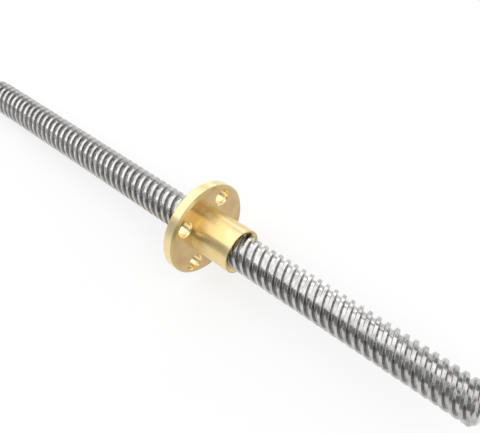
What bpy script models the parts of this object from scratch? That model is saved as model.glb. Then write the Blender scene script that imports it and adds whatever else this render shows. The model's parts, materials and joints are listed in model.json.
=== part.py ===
"""Trapezoidal lead screw with a flanged brass nut, lying as it comes to rest."""

import math

import bmesh
import bpy
import numpy as np
from mathutils import Matrix

# Sizes in metres, angles in radians.

# Thread, shared by the screw and the nut.
PITCH = 0.0020
STARTS = 4
FLANK_ANGLE = math.radians(15)
MAJOR_DIAMETER = 0.0080
THREAD_DEPTH = 0.0008
THREAD_SIDES = 16

# Screw.
SCREW_LENGTH = 0.150
END_CHAMFER = 0.0010

# Nut. Its flange's front face is the datum, with the hub in front and the boss behind.
NUT_POSITION = 0.084
NUT_CLOCK = math.radians(36)
FLANGE_DIAMETER = 0.0220
FLANGE_THICKNESS = 0.0030
FRONT_CHAMFER = 0.00055
BACK_CHAMFER = 0.0004
FLANGE_SIDES = 20
HUB_DIAMETER = 0.0102
HUB_LENGTH = 0.0100
BOSS_DIAMETER = 0.0102
BOSS_LENGTH = 0.0015
END_EDGE = 0.00015
ROOT_FILLET = 0.00015
ROOT_FILLET_STEPS = 3
HOLE_COUNT = 4
HOLE_DIAMETER = 0.0035
HOLE_INSET = 0.00005
HOLE_CHAMFER = 0.00025
HOLE_SIDES = 16
MOUTH_LIP = 0.00035
MOUTH_ANGLE = math.radians(45)

# Fit between the two threads.
CREST_CLEARANCE = 0.00025
FLANK_CLEARANCE = 0.00007

# How far a cutter runs past what it cuts.
CUTTER_MARGIN = 0.0010

# Points nearer than these are one: on a turned solid's axis, and between a thread's turns.
AXIS_MERGE = 1e-6
TURN_MERGE = 1e-5

# Each round of the search for the resting line finds the two places that touch first.
REST_ROUNDS = 20

# The holes' circle lies midway between hub and rim, less the inset towards the hub.
HOLE_CIRCLE = (HUB_DIAMETER + FLANGE_DIAMETER) / 2 - 2 * HOLE_INSET

LEAD = PITCH * STARTS
MAJOR_RADIUS = MAJOR_DIAMETER / 2
ROOT_RADIUS = MAJOR_RADIUS - THREAD_DEPTH
# The standard profile stands half a pitch deep at its pitch line, where ridge and groove are even.
PITCH_RADIUS = MAJOR_RADIUS - PITCH / 4


def new_collection(name):
    collection = bpy.data.collections.new(name)
    bpy.context.scene.collection.children.link(collection)
    return collection


def new_material(name, colour, roughness):
    material = bpy.data.materials.new(name)
    material.use_nodes = True
    shader = material.node_tree.nodes["Principled BSDF"]
    shader.inputs["Base Color"].default_value = (*colour, 1.0)
    shader.inputs["Metallic"].default_value = 1.0
    shader.inputs["Roughness"].default_value = roughness
    return material


def add_object(name, mesh, collection, parent):
    obj = bpy.data.objects.new(name, mesh)
    collection.objects.link(obj)
    obj.parent = parent
    return obj


def profile_mesh(name, points):
    """An open outline of (radius, height) points, at +X and running from the top down."""
    mesh = bpy.data.meshes.new(name)
    edges = [(i, i + 1) for i in range(len(points) - 1)]
    mesh.from_pydata([(r, 0.0, z) for r, z in points], edges, [])
    return mesh


def baked(obj):
    """The object's own mesh with its modifiers applied."""
    graph = bpy.context.evaluated_depsgraph_get()
    mesh = bpy.data.meshes.new_from_object(obj.evaluated_get(graph), depsgraph=graph)
    obj.modifiers.clear()
    obj.data = mesh
    return mesh


def smooth(mesh, angle=math.radians(30)):
    mesh.shade_smooth()
    mesh.set_sharp_from_angle(angle=angle)


def turned(name, points, sides, collection, parent):
    """A solid turned about Z from an outline that starts and ends on the axis."""
    obj = add_object(name, profile_mesh(name, points), collection, parent)
    screw = obj.modifiers.new("Turn", "SCREW")
    screw.axis = "Z"
    screw.angle = math.tau
    screw.steps = sides
    screw.render_steps = sides
    screw.use_merge_vertices = True
    screw.merge_threshold = AXIS_MERGE
    smooth(baked(obj))
    return obj


def ridge_width(radius, growth=0.0):
    """Axial width of a thread ridge at a radius, wider by growth on each flank."""
    taper = 2 * (radius - PITCH_RADIUS) * math.tan(FLANK_ANGLE)
    return PITCH / 2 - taper + 2 * growth


def close_thread_end(bm, loop):
    """Close a swept thread's ragged end: first a ledge towards the axis, then a fan onto it."""
    ledge = ROOT_RADIUS / 2
    made = bmesh.ops.extrude_edge_only(bm, edges=loop)["geom"]
    for vert in (v for v in made if isinstance(v, bmesh.types.BMVert)):
        shrink = ledge / math.hypot(vert.co.x, vert.co.y)
        vert.co.x *= shrink
        vert.co.y *= shrink
    inner = [e for e in made if isinstance(e, bmesh.types.BMEdge)]
    made = bmesh.ops.extrude_edge_only(bm, edges=inner)["geom"]
    tip = [v for v in made if isinstance(v, bmesh.types.BMVert)]
    heights = [v.co.z for v in tip]
    middle = (min(heights) + max(heights)) / 2
    bmesh.ops.pointmerge(bm, verts=tip, merge_co=(0.0, 0.0, middle))


def swept_thread(name, crest_radius, root_radius, growth, turns, collection, parent):
    """A closed bar of multi-start thread: one lead of outline, wound about Z and rising with it."""
    crest = ridge_width(crest_radius, growth) / 2
    root = ridge_width(root_radius, growth) / 2
    points = []
    for start in range(STARTS):
        centre = LEAD - start * PITCH
        points += [
            (crest_radius, centre + crest),
            (crest_radius, centre - crest),
            (root_radius, centre - root),
            (root_radius, centre - PITCH + root),
        ]
    points.append((crest_radius, crest))
    obj = add_object(name, profile_mesh(name, points), collection, parent)
    screw = obj.modifiers.new("Wind", "SCREW")
    screw.axis = "Z"
    screw.angle = math.tau
    screw.screw_offset = LEAD
    screw.iterations = turns
    screw.steps = THREAD_SIDES
    screw.render_steps = THREAD_SIDES
    screw.use_merge_vertices = False
    screw.merge_threshold = AXIS_MERGE
    weld = obj.modifiers.new("Join turns", "WELD")
    weld.merge_threshold = TURN_MERGE
    mesh = baked(obj)

    bm = bmesh.new()
    bm.from_mesh(mesh)
    open_edges = [e for e in bm.edges if e.is_boundary]
    half_way = LEAD * (turns + 1) / 2
    for above in (False, True):
        loop = [e for e in open_edges if (e.verts[0].co.z > half_way) == above]
        close_thread_end(bm, loop)
    bmesh.ops.recalc_face_normals(bm, faces=bm.faces)
    bm.to_mesh(mesh)
    bm.free()
    smooth(mesh)
    return obj


def boolean(obj, cutter, operation):
    modifier = obj.modifiers.new(cutter.name, "BOOLEAN")
    modifier.operation = operation
    modifier.solver = "EXACT"
    modifier.object = cutter


def make_screw(parts, cutters, frame):
    turns = math.ceil(SCREW_LENGTH / LEAD) + 2
    screw = swept_thread("lead_screw", MAJOR_RADIUS, ROOT_RADIUS, 0.0, turns, parts, frame)
    # The sweep starts below the screw's end by whole leads, so its phase stays on the datum.
    screw.data.transform(Matrix.Translation((0.0, 0.0, -2 * LEAD)))

    tip_radius = MAJOR_RADIUS - END_CHAMFER
    blank_radius = MAJOR_RADIUS + CUTTER_MARGIN
    slope = blank_radius - tip_radius
    blank = turned(
        "screw_blank",
        [
            (0.0, SCREW_LENGTH),
            (tip_radius, SCREW_LENGTH),
            (blank_radius, SCREW_LENGTH - slope),
            (blank_radius, slope),
            (tip_radius, 0.0),
            (0.0, 0.0),
        ],
        2 * THREAD_SIDES,
        cutters,
        frame,
    )
    boolean(screw, blank, "INTERSECT")
    return screw


def make_nut(parts, cutters, frame):
    flange = FLANGE_DIAMETER / 2
    hub = HUB_DIAMETER / 2
    boss = BOSS_DIAMETER / 2
    back = -FLANGE_THICKNESS
    fillet = []
    for step in range(ROOT_FILLET_STEPS + 1):
        turn = math.pi / 2 * step / ROOT_FILLET_STEPS
        fillet.append(
            (
                hub + ROOT_FILLET * (1 - math.cos(turn)),
                ROOT_FILLET * (1 - math.sin(turn)),
            )
        )
    outline = [
        (0.0, HUB_LENGTH),
        (hub - END_EDGE, HUB_LENGTH),
        (hub, HUB_LENGTH - END_EDGE),
        *fillet,
        (flange - FRONT_CHAMFER, 0.0),
        (flange, -FRONT_CHAMFER),
        (flange, back + BACK_CHAMFER),
        (flange - BACK_CHAMFER, back),
        (boss, back),
        (boss, back - BOSS_LENGTH + END_EDGE),
        (boss - END_EDGE, back - BOSS_LENGTH),
        (0.0, back - BOSS_LENGTH),
    ]
    nut = turned("flange_nut", outline, FLANGE_SIDES, parts, frame)
    nut.location.z = NUT_POSITION
    # Half a side's turn lays one flat of the rim downwards.
    half_side = math.pi / FLANGE_SIDES
    nut.rotation_euler.z = half_side

    # The tap follows the screw's own thread, larger by the clearances.
    nut_back = NUT_POSITION + back - BOSS_LENGTH
    nut_front = NUT_POSITION + HUB_LENGTH
    first_lead = math.floor(nut_back / LEAD) - 2
    turns = math.ceil((nut_front - nut_back) / LEAD) + 3
    tap = swept_thread(
        "nut_tap",
        MAJOR_RADIUS + CREST_CLEARANCE,
        ROOT_RADIUS + CREST_CLEARANCE,
        FLANK_CLEARANCE,
        turns,
        cutters,
        frame,
    )
    tap.location.z = first_lead * LEAD
    boolean(nut, tap, "DIFFERENCE")

    # A mouth at each end, as wide as the lip round it leaves.
    flare = CUTTER_MARGIN * math.tan(MOUTH_ANGLE)
    ends = (("front_mouth", hub, HUB_LENGTH, 0.0), ("back_mouth", boss, back - BOSS_LENGTH, math.pi))
    for name, outside, height, turn in ends:
        mouth = outside - MOUTH_LIP
        run = (mouth - ROOT_RADIUS) / math.tan(MOUTH_ANGLE)
        points = [
            (0.0, CUTTER_MARGIN),
            (mouth + flare, CUTTER_MARGIN),
            (ROOT_RADIUS, -run),
            (0.0, -run),
        ]
        cutter = turned(name, points, FLANGE_SIDES, cutters, nut)
        cutter.location.z = height
        cutter.rotation_euler.x = turn
        boolean(nut, cutter, "DIFFERENCE")

    hole = HOLE_DIAMETER / 2
    wide = hole + HOLE_CHAMFER
    for number in range(HOLE_COUNT):
        angle = NUT_CLOCK - half_side + math.tau * number / HOLE_COUNT
        points = [
            (0.0, CUTTER_MARGIN),
            (wide + CUTTER_MARGIN, CUTTER_MARGIN),
            (hole, -HOLE_CHAMFER),
            (hole, back + HOLE_CHAMFER),
            (wide + CUTTER_MARGIN, back - CUTTER_MARGIN),
            (0.0, back - CUTTER_MARGIN),
        ]
        drill = turned(f"flange_hole_{number + 1}", points, HOLE_SIDES, cutters, nut)
        drill.location.x = HOLE_CIRCLE / 2 * math.cos(angle)
        drill.location.y = HOLE_CIRCLE / 2 * math.sin(angle)
        boolean(nut, drill, "DIFFERENCE")
    return nut


def outline_points(objects):
    """Each vertex's distance along the screw and its reach to the side that lies down."""
    graph = bpy.context.evaluated_depsgraph_get()
    found = []
    for obj in objects:
        mesh = obj.evaluated_get(graph).to_mesh()
        for vert in mesh.vertices:
            place = obj.matrix_world @ vert.co
            found.append((place.z, place.x))
    return np.array(found)


def lay_down(frame, objects):
    """Lay the frame on its +X side: on the two places that carry it, either side of its middle."""
    points = outline_points(objects)
    middle = SCREW_LENGTH / 2
    behind = points[points[:, 0] < middle]
    ahead = points[points[:, 0] >= middle]
    # The line that touches the outline from below and crosses the middle lowest.
    slope = 0.0
    for _ in range(REST_ROUNDS):
        left = behind[np.argmax(behind[:, 1] - slope * behind[:, 0])]
        right = ahead[np.argmax(ahead[:, 1] - slope * ahead[:, 0])]
        slope = (right[1] - left[1]) / (right[0] - left[0])
    tilt = math.atan(slope)
    along = points[:, 0] * math.cos(tilt) + points[:, 1] * math.sin(tilt)
    height = points[:, 0] * math.sin(tilt) - points[:, 1] * math.cos(tilt)
    frame.rotation_euler.y = math.pi / 2 - tilt
    frame.location = (-(along.min() + along.max()) / 2, 0.0, -height.min())


for old in list(bpy.data.objects):
    bpy.data.objects.remove(old, do_unlink=True)

parts = new_collection("trapezoidal_lead_screw")
cutters = new_collection("cutters")

screw_frame = bpy.data.objects.new("screw_frame", None)
parts.objects.link(screw_frame)

screw = make_screw(parts, cutters, screw_frame)
nut = make_nut(parts, cutters, screw_frame)

screw.data.materials.append(new_material("steel", (0.60, 0.60, 0.61), 0.28))
nut.data.materials.append(new_material("brass", (0.82, 0.62, 0.28), 0.24))

for cutter in cutters.objects:
    cutter.hide_render = True
    cutter.display_type = "WIRE"

bpy.context.view_layer.update()
lay_down(screw_frame, (screw, nut))
bpy.context.view_layer.update()
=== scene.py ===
"""The lead screw and its nut, dressed: fine thread, turned brass, floor, light and camera."""

import json
import math

import bmesh
import bpy
import numpy as np
from mathutils import Euler, Matrix, Vector


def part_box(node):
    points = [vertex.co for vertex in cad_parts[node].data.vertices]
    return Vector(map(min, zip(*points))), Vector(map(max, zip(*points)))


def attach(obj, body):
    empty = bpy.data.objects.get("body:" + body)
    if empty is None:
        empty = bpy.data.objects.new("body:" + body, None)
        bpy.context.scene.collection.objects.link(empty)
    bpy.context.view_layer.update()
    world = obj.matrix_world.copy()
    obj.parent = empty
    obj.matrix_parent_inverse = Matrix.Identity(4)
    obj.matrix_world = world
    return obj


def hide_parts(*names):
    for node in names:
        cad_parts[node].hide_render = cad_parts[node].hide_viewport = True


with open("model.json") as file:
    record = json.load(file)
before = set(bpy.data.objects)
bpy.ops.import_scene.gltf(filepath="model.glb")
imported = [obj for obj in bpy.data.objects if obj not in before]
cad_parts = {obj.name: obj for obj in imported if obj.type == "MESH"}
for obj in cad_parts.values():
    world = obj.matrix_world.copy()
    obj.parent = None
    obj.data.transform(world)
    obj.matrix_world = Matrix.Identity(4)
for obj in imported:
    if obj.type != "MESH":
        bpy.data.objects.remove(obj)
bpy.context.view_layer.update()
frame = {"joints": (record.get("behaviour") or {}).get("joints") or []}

# Sizes in metres, as in the part's source.
PITCH = 0.0020
STARTS = 4
LEAD = PITCH * STARTS
FLANK_ANGLE = math.radians(15)
MAJOR_RADIUS = 0.0040
ROOT_RADIUS = 0.0032
SCREW_LENGTH = 0.150
END_CHAMFER = 0.0010
NUT_POSITION = 0.084
NUT_CLOCK = math.radians(36)
FLANGE_THICKNESS = 0.0030
FRONT_CHAMFER = 0.00055
BACK_CHAMFER = 0.0004
HUB_RADIUS = 0.0051
HUB_LENGTH = 0.0100
BOSS_LENGTH = 0.0015
HOLE_COUNT = 4
HOLE_RADIUS = 0.00175
HOLE_CIRCLE_RADIUS = 0.0080
HOLE_CHAMFER = 0.00025
MOUTH_RADIUS = 0.00475
CREST_CLEARANCE = 0.00025
FLANK_CLEARANCE = 0.00007

# The fine pieces' own detail: roundings, the steps in each, and sides a turn.
CREST_ROUND = 0.00005
ROOT_ROUND = 0.00008
TAP_ROUND = 0.0001
EDGE_ROUND = 0.00008
THREAD_ROUND_STEPS = 2
EDGE_ROUND_STEPS = 3
SHOULDER = 0.00002
THREAD_SIDES = 60
TURNED_SIDES = 128
HOLE_SIDES = 48
SCREW_SHARP = math.radians(40)
NUT_SHARP = math.radians(35)

# How far a cutter runs past what it cuts, and the distances at which points count as one.
MARGIN = 0.0010
PLANE_TOLERANCE = 1e-7
END_TOLERANCE = 1e-6
MERGE_DISTANCE = 1e-8

# The joint's position is rounded, so the fine pieces are this much smaller than the CAD's.
INSET = 0.000002

# Colours of the steel: crests and roots between two tones, and painted shade on the flanks.
STEEL_DARK = (0.42, 0.416, 0.41)
STEEL_LIGHT = (0.60, 0.595, 0.585)
STEEL_FLANK_SHADE = (0.44, 0.435, 0.425)

# Colours of the brass: the hub between two tones, the flange's rim, painted shade on its front
# chamfer, and painted shade on the square faces, from the corner at the hub outwards.
HUB_DARK = (0.83, 0.62, 0.26)
HUB_LIGHT = (0.94, 0.78, 0.44)
RIM_COLOUR = (0.92, 0.76, 0.43)
CHAMFER_SHADE = (0.60, 0.45, 0.20)
CORNER_SHADE = (0.62, 0.47, 0.21)
FACE_SHADE_DARK = (0.51, 0.355, 0.17)
FACE_SHADE_LIGHT = (0.64, 0.46, 0.23)

# Features a metre of each noise, the part of its range that shows, and the height of its bumps.
STEEL_GRAIN = 1500.0
STEEL_MOTTLE = 700.0
BRASS_MOTTLE = 260.0
BRASS_RINGS = 4000.0
MOTTLE_RANGE = (0.35, 0.65)
GRAIN_RANGE = (0.3, 0.7)
STEEL_GRAIN_HEIGHT = 0.000006
BRASS_RING_HEIGHT = 0.000008

# Roughness, each from one value to another by grain or mottle.
STEEL_ROUGHNESS = (0.08, 0.32)
SATIN_BRASS = (0.26, 0.38)
BRIGHT_BRASS = (0.10, 0.20)

# How metallic the brass is, and how far its gloss is drawn out.
BRASS_METALLIC = 0.85
BRASS_SPREAD = 0.8

# Distances from the axis over which a look fades in: below the crest, outside the hub, across the
# corner beside it, and towards the flange's rim.
BELOW_CREST = (MAJOR_RADIUS - 0.0001, MAJOR_RADIUS - 0.0004)
OUTSIDE_HUB = (HUB_RADIUS + 0.0001, HUB_RADIUS + 0.0006)
CORNER_WIDTH = (HUB_RADIUS + 0.0001, HUB_RADIUS + 0.0012)
TOWARDS_RIM = (0.0101, 0.0102)

# How far along the screw a surface faces where it counts as a flank, a chamfer or a square face.
FACING_FLANK = (0.25, 0.75)
FACING_CHAMFER = (0.4, 0.6)
FACING_FLAT = (0.8, 0.95)

# The floor, and how much of its white shows by itself. The room's own light, and how pale the room
# looks just over the floor's far edge, which fades between two sines of the elevation.
FLOOR_HALF = 3
FLOOR_COLOUR = (0.96, 0.96, 0.96)
FLOOR_ROUGHNESS = 0.9
FLOOR_GLOW = 0.75
WORLD_LIGHT = 0.24
HORIZON_LIGHT = 0.82
HORIZON_FADE = (0.09, 0.20)
WHITE = (1.0, 1.0, 1.0)

# Soft lamps: name, azimuth and elevation in degrees, width, height and radiance.
LAMP_DISTANCE = 1.0
LAMPS = (
    ("back", 160, 49, 1.6, 1.15, 1.45),
    ("side", 113, 12, 0.32, 0.45, 1.7),
    ("front", -20, 60, 1.1, 0.9, 1.7),
    ("right", 42, 28, 0.9, 0.6, 0.8),
    ("fill", -145, 10, 0.5, 0.45, 0.5),
    ("high_fill", -150, 33, 0.4, 0.3, 0.5),
    ("low_fill", -110, 4, 0.8, 0.35, 0.15),
)

# The photograph's viewing angle, fitted to the screw and the nut.
CAMERA_PLACE = (0.07654, -0.03601, 0.13583)
CAMERA_TURN = (30.342, 9.593, 40.397)
CAMERA_LENS = 50.0
CAMERA_SENSOR = 36.0
CAMERA_NEAR = 0.005


def local_frame():
    """The screw's own frame: Z along it from the low end, X to the side that lies down."""
    joint = frame["joints"][0]
    axis = Vector(joint["axis"]).normalized()
    across = Vector((0.0, 1.0, 0.0))
    down = across.cross(axis)
    low_end = Vector(joint["pos_m"]) - axis * NUT_POSITION
    turn = Matrix((down, across, axis)).transposed()
    return Matrix.Translation(low_end) @ turn.to_4x4()


PLACE = local_frame()


# Shapes.


def mesh_object(name, points, faces):
    mesh = bpy.data.meshes.new(name)
    mesh.from_pydata([tuple(p) for p in points], [], faces)
    obj = bpy.data.objects.new(name, mesh)
    bpy.context.scene.collection.objects.link(obj)
    return obj


def rounded(corners, radii, steps, closed_by=None):
    """
    The corners of an outline with each one rounded. closed_by is the step to the next copy of it.
    A point just beside each rounding lets the long stretches keep their own flat shading.
    """
    out = []
    count = len(corners)
    for i, (corner, radius) in enumerate(zip(corners, radii)):
        here = np.array(corner)
        if radius <= 0 or (closed_by is None and i in (0, count - 1)):
            out.append(here)
            continue
        before = np.array(corners[i - 1]) if i else np.array(corners[-1]) - closed_by
        after = np.array(corners[i + 1]) if i < count - 1 else np.array(corners[0]) + closed_by
        a = (before - here) / np.linalg.norm(before - here)
        b = (after - here) / np.linalg.norm(after - here)
        half = math.acos(float(np.clip(a @ b, -1, 1))) / 2
        middle = here + (a + b) / np.linalg.norm(a + b) * radius / math.sin(half)
        start = here + a * radius / math.tan(half) - middle
        end = here + b * radius / math.tan(half) - middle
        sweep = math.pi - 2 * half
        out.append(middle + start + a * SHOULDER)
        for step in range(steps + 1):
            t = step / steps
            mix = (start * math.sin((1 - t) * sweep) + end * math.sin(t * sweep)) / math.sin(sweep)
            out.append(middle + mix)
        out.append(middle + end + b * SHOULDER)
    return np.array(out)


def thread_profile(clearance, growth, crest_round, root_round):
    """
    One pitch of outline as rows of (height, radius), the ridge's middle at height 0. clearance
    moves it outwards, and growth widens the ridge on each flank.
    """
    pitch_radius = MAJOR_RADIUS - PITCH / 4
    crest = MAJOR_RADIUS + clearance
    root = ROOT_RADIUS + clearance
    crest_half = (PITCH / 2 - 2 * (crest - pitch_radius) * math.tan(FLANK_ANGLE)) / 2 + growth
    root_half = (PITCH / 2 - 2 * (root - pitch_radius) * math.tan(FLANK_ANGLE)) / 2 + growth
    corners = [(-root_half, root), (-crest_half, crest), (crest_half, crest), (root_half, root)]
    radii = [root_round, crest_round, crest_round, root_round]
    return rounded(corners, radii, THREAD_ROUND_STEPS, closed_by=np.array((PITCH, 0.0)))


def thread_object(name, profile, low, high):
    """A closed bar of four-start thread between two heights, its ends cut square."""
    rows_in_pitch = len(profile)
    first = math.floor(low / PITCH) - STARTS - 1
    last = math.ceil(high / PITCH) + 1
    pitches = np.arange(first, last + 1)
    heights = (pitches[:, None] * PITCH + profile[None, :, 0]).reshape(-1)
    radii = np.tile(profile[:, 1], len(pitches))
    rows = len(heights)
    turn = np.arange(THREAD_SIDES) / THREAD_SIDES
    z = heights[None, :] + LEAD * turn[:, None]
    angle = math.tau * turn[:, None]
    points = np.stack(
        [radii[None, :] * np.cos(angle), radii[None, :] * np.sin(angle), z], axis=2
    ).reshape(-1, 3)
    faces = []
    lead_rows = STARTS * rows_in_pitch
    for column in range(THREAD_SIDES):
        here = column * rows
        there = (column + 1) % THREAD_SIDES * rows
        shift = lead_rows if column == THREAD_SIDES - 1 else 0
        for row in range(rows - 1 - shift):
            faces.append(
                (here + row, there + row + shift, there + row + 1 + shift, here + row + 1)
            )
    obj = mesh_object(name, points, faces)
    bm = bmesh.new()
    bm.from_mesh(obj.data)
    for height, side in ((low, -1.0), (high, 1.0)):
        bmesh.ops.bisect_plane(
            bm,
            geom=bm.verts[:] + bm.edges[:] + bm.faces[:],
            dist=PLANE_TOLERANCE,
            plane_co=(0.0, 0.0, height),
            plane_no=(0.0, 0.0, side),
            clear_outer=True,
        )
        rim = [
            edge
            for edge in bm.edges
            if edge.is_boundary and abs(edge.verts[0].co.z - height) < END_TOLERANCE
        ]
        made = bmesh.ops.extrude_edge_only(bm, edges=rim)["geom"]
        tip = [v for v in made if isinstance(v, bmesh.types.BMVert)]
        bmesh.ops.pointmerge(bm, verts=tip, merge_co=(0.0, 0.0, height))
    bmesh.ops.remove_doubles(bm, verts=bm.verts[:], dist=MERGE_DISTANCE)
    bmesh.ops.recalc_face_normals(bm, faces=bm.faces[:])
    bm.to_mesh(obj.data)
    bm.free()
    return obj


def turned_object(name, outline, sides, place=None):
    """A closed solid turned about Z. Its rows of (radius, height) start and end on the axis."""
    outline = np.array(outline)
    angle = math.tau * np.arange(sides) / sides
    points = [(0.0, 0.0, outline[0, 1])]
    for radius, height in outline[1:-1]:
        points += [(radius * math.cos(a), radius * math.sin(a), height) for a in angle]
    points.append((0.0, 0.0, outline[-1, 1]))
    rings = len(outline) - 2
    end = len(points) - 1
    faces = []
    for k in range(sides):
        n = (k + 1) % sides
        faces.append((0, 1 + k, 1 + n))
        for ring in range(rings - 1):
            a = 1 + ring * sides
            b = a + sides
            faces.append((a + k, b + k, b + n, a + n))
        last = 1 + (rings - 1) * sides
        faces.append((end, last + n, last + k))
    obj = mesh_object(name, points, faces)
    if place is not None:
        obj.data.transform(place)
    bm = bmesh.new()
    bm.from_mesh(obj.data)
    bmesh.ops.recalc_face_normals(bm, faces=bm.faces[:])
    bm.to_mesh(obj.data)
    bm.free()
    return obj


def cut(obj, cutters, operation="DIFFERENCE"):
    """Cut with each solid in turn, keep the result as the object's own mesh, drop the cutters."""
    for cutter in cutters:
        modifier = obj.modifiers.new("cut", "BOOLEAN")
        modifier.operation = operation
        modifier.solver = "MANIFOLD"
        modifier.object = cutter
    graph = bpy.context.evaluated_depsgraph_get()
    mesh = bpy.data.meshes.new_from_object(obj.evaluated_get(graph), depsgraph=graph)
    obj.modifiers.clear()
    obj.data = mesh
    for cutter in cutters:
        bpy.data.objects.remove(cutter, do_unlink=True)


def finish_piece(obj, body, node, material, sharp):
    """Shade a piece, lay it where the object lies and say what it stands for."""
    obj.data.materials.clear()
    obj.data.materials.append(material)
    obj.data.shade_smooth()
    obj.data.set_sharp_from_angle(angle=sharp)
    obj.data.transform(PLACE)
    bpy.context.view_layer.update()
    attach(obj, body)
    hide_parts(node)


# Materials.


def new_material(name):
    material = bpy.data.materials.new(name)
    material.use_nodes = True
    nodes = material.node_tree.nodes
    links = material.node_tree.links
    return material, nodes, links, nodes["Principled BSDF"]


def add_node(nodes, kind, **settings):
    made = nodes.new(kind)
    for key, value in settings.items():
        setattr(made, key, value)
    return made


def feed(links, socket, value):
    """Give a socket a number, a vector, a colour or the output of another node."""
    if isinstance(value, bpy.types.NodeSocket):
        links.new(value, socket)
    elif socket.type == "RGBA":
        socket.default_value = (*value, 1.0)
    else:
        socket.default_value = value


def calculate(nodes, links, operation, *values):
    made = add_node(nodes, "ShaderNodeMath", operation=operation)
    for socket, value in zip(made.inputs, values):
        feed(links, socket, value)
    return made.outputs["Value"]


def vector_math(nodes, links, operation, *values):
    """The node itself, because its result may be a vector or a number."""
    made = add_node(nodes, "ShaderNodeVectorMath", operation=operation)
    for socket, value in zip(made.inputs, values):
        feed(links, socket, value)
    return made


def map_range(nodes, links, value, from_range, to_range=(0.0, 1.0)):
    made = add_node(nodes, "ShaderNodeMapRange")
    made.inputs["From Min"].default_value, made.inputs["From Max"].default_value = from_range
    made.inputs["To Min"].default_value, made.inputs["To Max"].default_value = to_range
    links.new(value, made.inputs["Value"])
    return made.outputs["Result"]


def blend(nodes, links, factor, low, high, kind="RGBA"):
    """From low to high by a factor. Either may be the output of another node."""
    made = add_node(nodes, "ShaderNodeMix", data_type=kind)
    links.new(factor, made.inputs["Factor"])
    feed(links, made.inputs["A"], low)
    feed(links, made.inputs["B"], high)
    return made.outputs["Result"]


def noise(nodes, links, place, scale, detail=3.0):
    made = add_node(nodes, "ShaderNodeTexNoise")
    made.inputs["Scale"].default_value = scale
    made.inputs["Detail"].default_value = detail
    links.new(place, made.inputs["Vector"])
    return made.outputs["Fac"]


def bump(nodes, links, shader, height, distance):
    made = add_node(nodes, "ShaderNodeBump")
    made.inputs["Strength"].default_value = 1.0
    made.inputs["Distance"].default_value = distance
    links.new(height, made.inputs["Height"])
    links.new(made.outputs["Normal"], shader.inputs["Normal"])


def along_screw(nodes, links):
    """The place in the screw's own frame, its distance from the axis and its height."""
    place = add_node(nodes, "ShaderNodeTexCoord")
    own = add_node(nodes, "ShaderNodeMapping", vector_type="TEXTURE")
    own.inputs["Location"].default_value = PLACE.to_translation()
    own.inputs["Rotation"].default_value = PLACE.to_euler()
    links.new(place.outputs["Object"], own.inputs["Vector"])
    flat = vector_math(nodes, links, "MULTIPLY", own.outputs["Vector"], (1.0, 1.0, 0.0))
    reach = vector_math(nodes, links, "LENGTH", flat.outputs["Vector"])
    parts = add_node(nodes, "ShaderNodeSeparateXYZ")
    links.new(own.outputs["Vector"], parts.inputs["Vector"])
    return own.outputs["Vector"], reach.outputs["Value"], parts.outputs["Z"]


def axial(nodes, links):
    """How far the surface faces along the screw: 0 on a crest, 1 on a square end."""
    place = add_node(nodes, "ShaderNodeTexCoord")
    axis = PLACE.to_3x3().col[2]
    facing = vector_math(nodes, links, "DOT_PRODUCT", place.outputs["Normal"], axis)
    return calculate(nodes, links, "ABSOLUTE", facing.outputs["Value"])


def steel_material():
    """Rolled steel: bright, a little mottled, with fine scratches."""
    material, nodes, links, shader = new_material("lead_screw_steel")
    shader.inputs["Metallic"].default_value = 1.0
    place, reach, height = along_screw(nodes, links)

    grain = noise(nodes, links, place, STEEL_GRAIN)
    mottle = map_range(nodes, links, noise(nodes, links, place, STEEL_MOTTLE), MOTTLE_RANGE)
    bright = blend(nodes, links, mottle, STEEL_DARK, STEEL_LIGHT)

    # Painted shade on the flanks, but not on the screw's two ends with their chamfers.
    steep = map_range(nodes, links, axial(nodes, links), FACING_FLANK)
    deep = map_range(nodes, links, reach, BELOW_CREST)
    from_middle = calculate(nodes, links, "SUBTRACT", height, SCREW_LENGTH / 2)
    away = calculate(nodes, links, "ABSOLUTE", from_middle)
    inner = calculate(nodes, links, "LESS_THAN", away, SCREW_LENGTH / 2 - END_CHAMFER)
    flank = calculate(nodes, links, "MULTIPLY", steep, deep)
    flank = calculate(nodes, links, "MULTIPLY", flank, inner)
    links.new(blend(nodes, links, flank, bright, STEEL_FLANK_SHADE), shader.inputs["Base Color"])

    rough = map_range(nodes, links, grain, GRAIN_RANGE, STEEL_ROUGHNESS)
    links.new(rough, shader.inputs["Roughness"])
    bump(nodes, links, shader, grain, STEEL_GRAIN_HEIGHT)
    return material


def spread_across_rings(nodes, links, shader):
    """Lay the gloss's spread across the tool's rings, which run round the screw's axis."""
    place = add_node(nodes, "ShaderNodeTexCoord")
    axis = PLACE.to_3x3().col[2]
    offset = vector_math(
        nodes, links, "SUBTRACT", place.outputs["Object"], PLACE.to_translation()
    )
    around = vector_math(nodes, links, "CROSS_PRODUCT", axis, offset.outputs["Vector"])
    across = vector_math(
        nodes, links, "CROSS_PRODUCT", around.outputs["Vector"], place.outputs["Normal"]
    )
    tangent = add_node(
        nodes,
        "ShaderNodeVectorTransform",
        vector_type="VECTOR",
        convert_from="OBJECT",
        convert_to="WORLD",
    )
    links.new(across.outputs["Vector"], tangent.inputs["Vector"])
    links.new(tangent.outputs["Vector"], shader.inputs["Tangent"])


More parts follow.
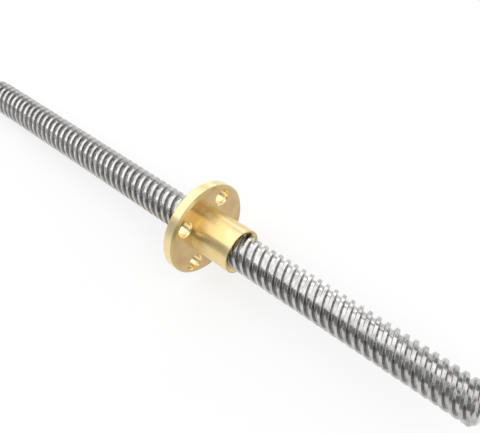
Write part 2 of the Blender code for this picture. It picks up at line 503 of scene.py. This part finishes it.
def brass_material():
    """Turned brass: satin on the hub and the rim, brighter on the faces and in the holes."""
    material, nodes, links, shader = new_material("flange_nut_brass")
    shader.inputs["Metallic"].default_value = BRASS_METALLIC
    shader.inputs["Anisotropic"].default_value = BRASS_SPREAD
    spread_across_rings(nodes, links, shader)
    place, reach, height = along_screw(nodes, links)

    mottle = map_range(nodes, links, noise(nodes, links, place, BRASS_MOTTLE), MOTTLE_RANGE)
    outer = map_range(nodes, links, reach, OUTSIDE_HUB)
    near_rim = map_range(nodes, links, reach, TOWARDS_RIM)
    facing = axial(nodes, links)
    slanted = map_range(nodes, links, facing, FACING_CHAMFER)
    flat = map_range(nodes, links, facing, FACING_FLAT)

    hub = blend(nodes, links, mottle, HUB_DARK, HUB_LIGHT)
    turned = blend(nodes, links, outer, hub, RIM_COLOUR)
    # Painted shade on the chamfer at the flange's rim.
    chamfer = calculate(nodes, links, "MULTIPLY", slanted, near_rim)
    turned = blend(nodes, links, chamfer, turned, CHAMFER_SHADE)
    # Painted shade on the square faces, darker than the hub, with a tone of its own in the corner
    # beside it.
    face_shade = blend(nodes, links, mottle, FACE_SHADE_DARK, FACE_SHADE_LIGHT)
    corner = map_range(nodes, links, reach, CORNER_WIDTH)
    face = blend(nodes, links, corner, CORNER_SHADE, face_shade)
    links.new(blend(nodes, links, flat, turned, face), shader.inputs["Base Color"])

    satin = map_range(nodes, links, mottle, (0.0, 1.0), SATIN_BRASS)
    bright = map_range(nodes, links, mottle, (0.0, 1.0), BRIGHT_BRASS)
    inside_rim = calculate(nodes, links, "SUBTRACT", 1.0, near_rim)
    in_flange = calculate(nodes, links, "MULTIPLY", outer, inside_rim)
    polished = calculate(nodes, links, "MAXIMUM", flat, in_flange)
    rough = blend(nodes, links, polished, satin, bright, kind="FLOAT")
    links.new(rough, shader.inputs["Roughness"])

    outline = add_node(nodes, "ShaderNodeCombineXYZ")
    links.new(reach, outline.inputs["X"])
    links.new(height, outline.inputs["Y"])
    rings = noise(nodes, links, outline.outputs["Vector"], BRASS_RINGS, detail=2.0)
    bump(nodes, links, shader, rings, BRASS_RING_HEIGHT)
    return material


# The screw.


def make_screw(material):
    profile = thread_profile(0.0, 0.0, CREST_ROUND, ROOT_ROUND)
    screw = thread_object("lead_screw_fine", profile, -MARGIN, SCREW_LENGTH + MARGIN)
    tip = MAJOR_RADIUS - END_CHAMFER
    slope = MARGIN + END_CHAMFER
    low, high = INSET, SCREW_LENGTH - INSET
    blank = turned_object(
        "blank",
        [
            (0.0, high),
            (tip, high),
            (tip + slope, high - slope),
            (tip + slope, low + slope),
            (tip, low),
            (0.0, low),
        ],
        TURNED_SIDES,
    )
    cut(screw, [blank], "INTERSECT")
    finish_piece(screw, "screw", "lead_screw", material, SCREW_SHARP)


# The nut.


def nut_outline():
    """The nut's rows of (radius, height) from its flange's front face, with small edges rounded."""
    low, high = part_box("flange_nut")
    rim = (high.y - low.y) / 2 - INSET
    back = -FLANGE_THICKNESS
    rows = [
        ((0.0, HUB_LENGTH), EDGE_ROUND),
        ((HUB_RADIUS, HUB_LENGTH), EDGE_ROUND),
        ((HUB_RADIUS, 0.0), 0.0),
        ((rim - FRONT_CHAMFER, 0.0), EDGE_ROUND),
        ((rim, -FRONT_CHAMFER), EDGE_ROUND),
        ((rim, back + BACK_CHAMFER), EDGE_ROUND),
        ((rim - BACK_CHAMFER, back), EDGE_ROUND),
        ((HUB_RADIUS, back), 0.0),
        ((HUB_RADIUS, back - BOSS_LENGTH), EDGE_ROUND),
        ((0.0, back - BOSS_LENGTH), EDGE_ROUND),
    ]
    corners, radii = zip(*rows)
    return rounded(corners, radii, EDGE_ROUND_STEPS)


def mouth_cutter(end, side):
    """A cone that opens the thread at one end of the nut. side is 1 in front and -1 behind."""
    run = MOUTH_RADIUS - ROOT_RADIUS
    rows = [
        (0.0, end + side * MARGIN),
        (MOUTH_RADIUS + MARGIN, end + side * MARGIN),
        (ROOT_RADIUS, end - side * run),
        (0.0, end - side * run),
    ]
    return turned_object("mouth", rows, TURNED_SIDES)


def hole_cutter(number):
    angle = NUT_CLOCK + math.tau * number / HOLE_COUNT
    back = -FLANGE_THICKNESS
    wide = HOLE_RADIUS + HOLE_CHAMFER + MARGIN
    rows = [
        (0.0, MARGIN),
        (wide, MARGIN),
        (HOLE_RADIUS, -HOLE_CHAMFER),
        (HOLE_RADIUS, back + HOLE_CHAMFER),
        (wide, back - MARGIN),
        (0.0, back - MARGIN),
    ]
    x = HOLE_CIRCLE_RADIUS * math.cos(angle)
    y = HOLE_CIRCLE_RADIUS * math.sin(angle)
    return turned_object("hole", rows, HOLE_SIDES, Matrix.Translation((x, y, NUT_POSITION)))


def make_nut(material):
    shift = Matrix.Translation((0.0, 0.0, NUT_POSITION))
    nut = turned_object("flange_nut_fine", nut_outline(), TURNED_SIDES, shift)
    back = NUT_POSITION - FLANGE_THICKNESS - BOSS_LENGTH
    front = NUT_POSITION + HUB_LENGTH
    profile = thread_profile(CREST_CLEARANCE, FLANK_CLEARANCE, TAP_ROUND, TAP_ROUND)
    cutters = [
        thread_object("tap", profile, back - MARGIN, front + MARGIN),
        mouth_cutter(front, 1.0),
        mouth_cutter(back, -1.0),
        *(hole_cutter(number) for number in range(HOLE_COUNT)),
    ]
    cut(nut, cutters)
    finish_piece(nut, "nut", "flange_nut", material, NUT_SHARP)


make_screw(steel_material())
make_nut(brass_material())


# Floor, light and camera.


def softbox(name, azimuth, elevation, width, height, radiance):
    """A rectangular lamp of even brightness, aimed at the object from a direction in degrees."""
    light = bpy.data.lights.new(name, "AREA")
    light.shape = "RECTANGLE"
    light.size, light.size_y = width, height
    light.energy = radiance * math.pi * width * height
    obj = bpy.data.objects.new(name, light)
    bpy.context.scene.collection.objects.link(obj)
    turn, rise = math.radians(azimuth), math.radians(elevation)
    out = Vector((math.cos(rise) * math.cos(turn), math.cos(rise) * math.sin(turn), math.sin(rise)))
    obj.location = out * LAMP_DISTANCE
    obj.rotation_euler = (-out).to_track_quat("-Z", "Y").to_euler()
    obj.visible_camera = False


def seen(nodes, links):
    """1 for what the camera sees directly, in a reflection or through glass."""
    path = add_node(nodes, "ShaderNodeLightPath").outputs
    straight = calculate(nodes, links, "MAXIMUM", path["Is Camera Ray"], path["Is Glossy Ray"])
    return calculate(nodes, links, "MAXIMUM", straight, path["Is Transmission Ray"])


def floor_material():
    """White paper. Eyes and polished metal see it part lit from within, so its shadow is soft."""
    material, nodes, links, shader = new_material("floor_white")
    feed(links, shader.inputs["Base Color"], FLOOR_COLOUR)
    shader.inputs["Roughness"].default_value = FLOOR_ROUGHNESS
    shader.inputs["Specular IOR Level"].default_value = 0.0
    glow = add_node(nodes, "ShaderNodeEmission")
    feed(links, glow.inputs["Color"], WHITE)
    glow.inputs["Strength"].default_value = 1.0
    share = calculate(nodes, links, "MULTIPLY", seen(nodes, links), FLOOR_GLOW)
    mixed = add_node(nodes, "ShaderNodeMixShader")
    links.new(share, mixed.inputs["Fac"])
    links.new(shader.outputs["BSDF"], mixed.inputs[1])
    links.new(glow.outputs["Emission"], mixed.inputs[2])
    links.new(mixed.outputs["Shader"], nodes["Material Output"].inputs["Surface"])
    return material


def make_floor():
    size = FLOOR_HALF
    corners = [(-size, -size, 0), (size, -size, 0), (size, size, 0), (-size, size, 0)]
    floor = mesh_object("floor", corners, [(0, 1, 2, 3)])
    floor.data.materials.append(floor_material())


def make_world():
    """A dim, even room that looks as pale as the floor where the two meet."""
    world = bpy.data.worlds.new("studio")
    bpy.context.scene.world = world
    world.use_nodes = True
    nodes, links = world.node_tree.nodes, world.node_tree.links
    room = nodes["Background"]
    feed(links, room.inputs["Color"], WHITE)
    room.inputs["Strength"].default_value = WORLD_LIGHT
    horizon = add_node(nodes, "ShaderNodeBackground")
    feed(links, horizon.inputs["Color"], WHITE)
    horizon.inputs["Strength"].default_value = HORIZON_LIGHT
    direction = add_node(nodes, "ShaderNodeTexCoord")
    parts = add_node(nodes, "ShaderNodeSeparateXYZ")
    links.new(direction.outputs["Generated"], parts.inputs["Vector"])
    low = map_range(nodes, links, parts.outputs["Z"], HORIZON_FADE, (1.0, 0.0))
    share = calculate(nodes, links, "MULTIPLY", low, seen(nodes, links))
    mixed = add_node(nodes, "ShaderNodeMixShader")
    links.new(share, mixed.inputs["Fac"])
    links.new(room.outputs["Background"], mixed.inputs[1])
    links.new(horizon.outputs["Background"], mixed.inputs[2])
    links.new(mixed.outputs["Shader"], nodes["World Output"].inputs["Surface"])


def make_camera():
    camera = bpy.data.cameras.new("camera")
    camera.lens = CAMERA_LENS
    camera.sensor_width = CAMERA_SENSOR
    camera.clip_start = CAMERA_NEAR
    obj = bpy.data.objects.new("camera", camera)
    bpy.context.scene.collection.objects.link(obj)
    obj.location = CAMERA_PLACE
    obj.rotation_euler = Euler([math.radians(a) for a in CAMERA_TURN])
    bpy.context.scene.camera = obj


make_floor()
for lamp in LAMPS:
    softbox(*lamp)
make_world()
make_camera()
bpy.context.scene.view_settings.view_transform = "Standard"
